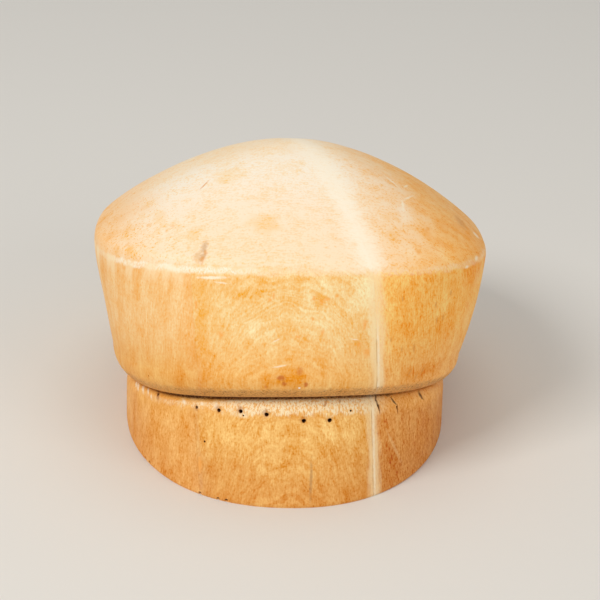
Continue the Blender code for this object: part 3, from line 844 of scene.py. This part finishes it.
right_marks = [
    (fibre_dash, 0.70, side_mark, [
        (72.0, -74.9, 95.2, 1.0, 4.0, 0), (73.1, -74.5, 86.6, 1.0, 4.0, 0),
        (61.7, -85.2, 76.3, 1.1, 5.0, 0), (54.8, -85.6, 103.5, 1.0, 3.0, 0),
        (79.8, -66.8, 97.9, 1.0, 4.0, 0), (76.3, -71.0, 86.0, 0.9, 4.0, 0),
        (55.5, -89.7, 78.0, 1.0, 3.5, 0), (49.7, -92.3, 84.3, 1.0, 3.0, 0),
        (63.7, -83.6, 59.1, 1.0, 5.0, 30), (54.0, -92.9, 7.9, 3.0, 5.0, 0),
        (60.2, -87.4, 63.4, 1.0, 6.0, 30), (66.9, -79.6, 60.4, 1.0, 6.0, 25)]),
    # Painted shade: dark brown where the splits open, for the shadow inside them
    (split_shade, 0.85, side_mark, [
        (43.9, -88.8, 49.3, 1.0, 3.0, 12), (44.8, -90.6, 47.0, 1.0, 3.5, -18),
        (50.6, -84.0, 48.2, 3.4, 1.0, 20), (53.6, -84.4, 44.6, 0.8, 6.0, -38),
        (68.1, -66.6, 38.6, 0.9, 6.5, -32)]),
    (brown_patch, 0.35, crown_mark, [(88.0, -6.0, 109.0, 7.0, 22.0, 0)]),
    (long_scratch, 0.35, side_mark, [(55.0, -88.6, 20.5, 1.5, 32.0, -23)]),
    (crown_dash, 0.65, crown_mark, [
        (67.5, -46.8, 122.5, 1.6, 8.0, 25), (62.1, -68.0, 120.5, 2.4, 2.8, 0),
        (77.0, -52.0, 117.6, 9.0, 1.6, 8), (51.4, -11.2, 131.9, 6.0, 2.0, -25),
        (72.0, -60.0, 118.0, 10.0, 1.4, -6), (84.0, -30.0, 113.6, 2.0, 7.0, 20)]),
    (pale_scratch, 0.60, crown_mark, [
        (51.6, -8.7, 131.8, 1.8, 17.0, -35), (58.8, -4.3, 127.5, 1.3, 9.0, 15),
        (59.2, -20.6, 128.9, 1.3, 14.0, 25), (55.8, -32.8, 129.6, 1.8, 13.0, 0)]),
    (edge_nick, 0.70, side_mark, [
        (88.0, -54.6, 106.5, 3.0, 1.3, 25), (94.0, -41.6, 105.0, 3.6, 1.3, 42),
        (96.4, -8.5, 102.4, 5.0, 1.2, 42)]),
]
# The darker wall, base and foot colours are partly the plank's redder wood and partly painted shade on this
# side
right_wood = wood("right_wood", heart=(160.0, -60.0), upper=(1.0, 0.54, 0.13), lower=(0.93, 0.45, 0.115),
                  base=(0.80, 0.34, 0.075), foot=(0.68, 0.26, 0.05), crown=(0.975, 0.85, 0.67),
                  honey=(0.97, 0.53, 0.165), honey_from=19.0, honey_to=86.0, sapwood=0.75,
                  figure=1.35, dashed=0.42, marks=right_marks, honey_back=16.0)
finish_plank(right, right_wood, "right_plank", right_stains_and_shade)

# The left plank
# The outer plank on the left, the narrowest of the three, of the same hardwood. It is glued edge to edge
# to the middle plank, and so well matched that the joint hardly shows.
left = cut_from_blank("carved_left_plank", None, left_joint)
bore(left, hole_cutter)
left_stains = [
    (0.30, [
        (-73.9, -73.7, 75.7, 5, 8, 8), (-69.7, -78.7, 64.9, 6, 8, 8), (-76.0, -71.0, 96.0, 4, 8, 10),
        (-53.0, -93.8, 60.0, 12, 14, 12)]),
    (-0.30, [(-64.0, -80.5, 30.0, 12, 14, 10), (-76.5, -56.0, 31.0, 12, 14, 7)]),
    (0.40, [(-45.5, -94.0, 88.0, 9, 10, 24), (-46.5, -96.0, 74.0, 8, 10, 20)]),
    (0.25, [
        (-81.8, -44.2, 117.0, 9, 12, 9), (-90.2, -39.7, 111.9, 10, 9, 10),
        (-88.5, -23.0, 113.0, 9, 14, 10), (-98.5, -4.3, 102.9, 12, 22, 14), (-73.5, -25.6, 122.5, 7, 9, 8),
        (-66.0, -44.0, 124.5, 7, 10, 8), (-79.4, -62.7, 114.9, 9, 5, 6), (-87.4, -54.5, 111.6, 8, 6, 6)]),
]
dark_pin_edge = (0.34, 0.13, 0.05)
crown_spot = (0.93, 0.54, 0.22)
left_marks = [
    (torn_fleck, 0.75, side_mark, [
        (-76.9, -51.8, 31.1, 2.4, 2.0, 20), (-73.9, -58.0, 33.6, 1.8, 3.0, -25),
        (-78.3, -47.1, 30.2, 2.0, 1.6, 0), (-70.9, -63.2, 35.5, 1.4, 3.0, -30),
        (-51.3, -87.1, 43.4, 2.2, 1.8, 0), (-68.8, -67.0, 35.2, 1.2, 2.4, 10)]),
    (dark_pin_edge, 0.80, side_mark, [
        (-65.2, -72.1, 38.2, 1.8, 3.8, 0), (-45.2, -92.2, 43.6, 2.4, 3.6, 0)]),
    (pale_scratch, 0.60, side_mark, [(-58.6, -80.8, 114.6, 22.0, 2.0, 0)]),
    (crown_spot, 0.65, crown_mark, [
        (-59.0, -56.8, 125.8, 2.2, 1.4, 25), (-61.4, -58.6, 124.6, 1.6, 1.2, 0),
        (-71.4, -48.5, 122.1, 2.4, 1.6, 20), (-81.4, -57.6, 114.4, 5.0, 2.4, -20),
        (-70.9, -48.9, 122.3, 2.6, 3.6, -30), (-58.5, -57.0, 125.9, 2.0, 3.4, 0),
        (-52.7, -68.9, 124.6, 2.0, 3.0, 0), (-61.5, -59.6, 124.9, 2.0, 2.6, 0),
        (-79.4, -62.7, 114.9, 3.0, 2.0, 0), (-86.4, -55.5, 111.2, 3.0, 3.0, 0)]),
]
left_wood = wood("left_wood", heart=(-170.0, -80.0), upper=(0.95, 0.57, 0.23), lower=(0.87, 0.43, 0.10),
                 base=(0.90, 0.45, 0.12), foot=(0.82, 0.37, 0.09), crown=(0.975, 0.86, 0.69),
                 honey=(0.97, 0.60, 0.28), honey_from=-58.0, honey_to=-104.0, sapwood=0.05,
                 figure=0.85, dashed=0.10, marks=left_marks)
finish_plank(left, left_wood, "left_plank", left_stains)
# All three planks are bored, so the cutters are removed
for tool in (hole_cutter, socket_cutter):
    bpy.data.objects.remove(tool, do_unlink=True)

# The studio
# A plain pale floor under the block, one large soft lamp from the upper left in front of it, a weak one
# overhead, a weak one from the right, and an even pale sky.
floor_half, floor_colour, floor_roughness = 4.0, (0.74, 0.72, 0.68, 1), 0.8
floor_mesh = bpy.data.meshes.new("floor")
floor_mesh.from_pydata([(-floor_half, -floor_half, 0), (floor_half, -floor_half, 0),
                        (floor_half, floor_half, 0), (-floor_half, floor_half, 0)], [], [(0, 1, 2, 3)])
floor = bpy.data.objects.new("floor", floor_mesh)
bpy.context.collection.objects.link(floor)
floor_paint = bpy.data.materials.new("floor_paint")
floor_paint.use_nodes = True
floor_paint.node_tree.nodes["Principled BSDF"].inputs["Base Color"].default_value = floor_colour
floor_paint.node_tree.nodes["Principled BSDF"].inputs["Roughness"].default_value = floor_roughness
floor_mesh.materials.append(floor_paint)

sky_colour, sky_strength, daylight = (1.0, 0.99, 0.97, 1), 0.45, (1.0, 0.98, 0.95)
world = bpy.data.worlds.new("studio_sky")
world.use_nodes = True
world.node_tree.nodes["Background"].inputs["Color"].default_value = sky_colour
world.node_tree.nodes["Background"].inputs["Strength"].default_value = sky_strength
bpy.context.scene.world = world


def soft_lamp(name, place, aim, size, power):
    """A square soft lamp at a place, turned towards a point on the block."""
    light = bpy.data.lights.new(name, "AREA")
    light.size = size
    light.energy = power
    light.color = daylight
    lamp = bpy.data.objects.new(name, light)
    lamp.location = place
    lamp.rotation_euler = (Vector(place) - Vector(aim)).to_track_quat("Z", "Y").to_euler()
    bpy.context.collection.objects.link(lamp)


soft_lamp("window", place=(-1.15, -1.0, 1.6), aim=(0, -0.02, 0.06), size=0.8, power=23.0)
soft_lamp("overhead", place=(0.1, 0.35, 1.8), aim=(0, 0, 0.1), size=1.0, power=3.6)
soft_lamp("fill", place=(1.2, -1.15, 0.8), aim=(0, 0, 0.06), size=1.0, power=6.5)

camera_data = bpy.data.cameras.new("camera")
camera_data.sensor_width = 36.0
camera_data.lens = 120.0
camera = bpy.data.objects.new("camera", camera_data)
camera_place = Matrix.Translation((-0.00725, -0.95044, 0.54498))
look_down, turn_left, roll = math.radians(27.15), math.radians(0.80), math.radians(1.86)
camera.matrix_world = (camera_place @ Matrix.Rotation(-turn_left, 4, "Z")
                       @ Matrix.Rotation(math.radians(90) - look_down, 4, "X")
                       @ Matrix.Rotation(roll, 4, "Z"))
bpy.context.collection.objects.link(camera)
bpy.context.scene.camera = camera
bpy.context.scene.view_settings.view_transform = "Standard"
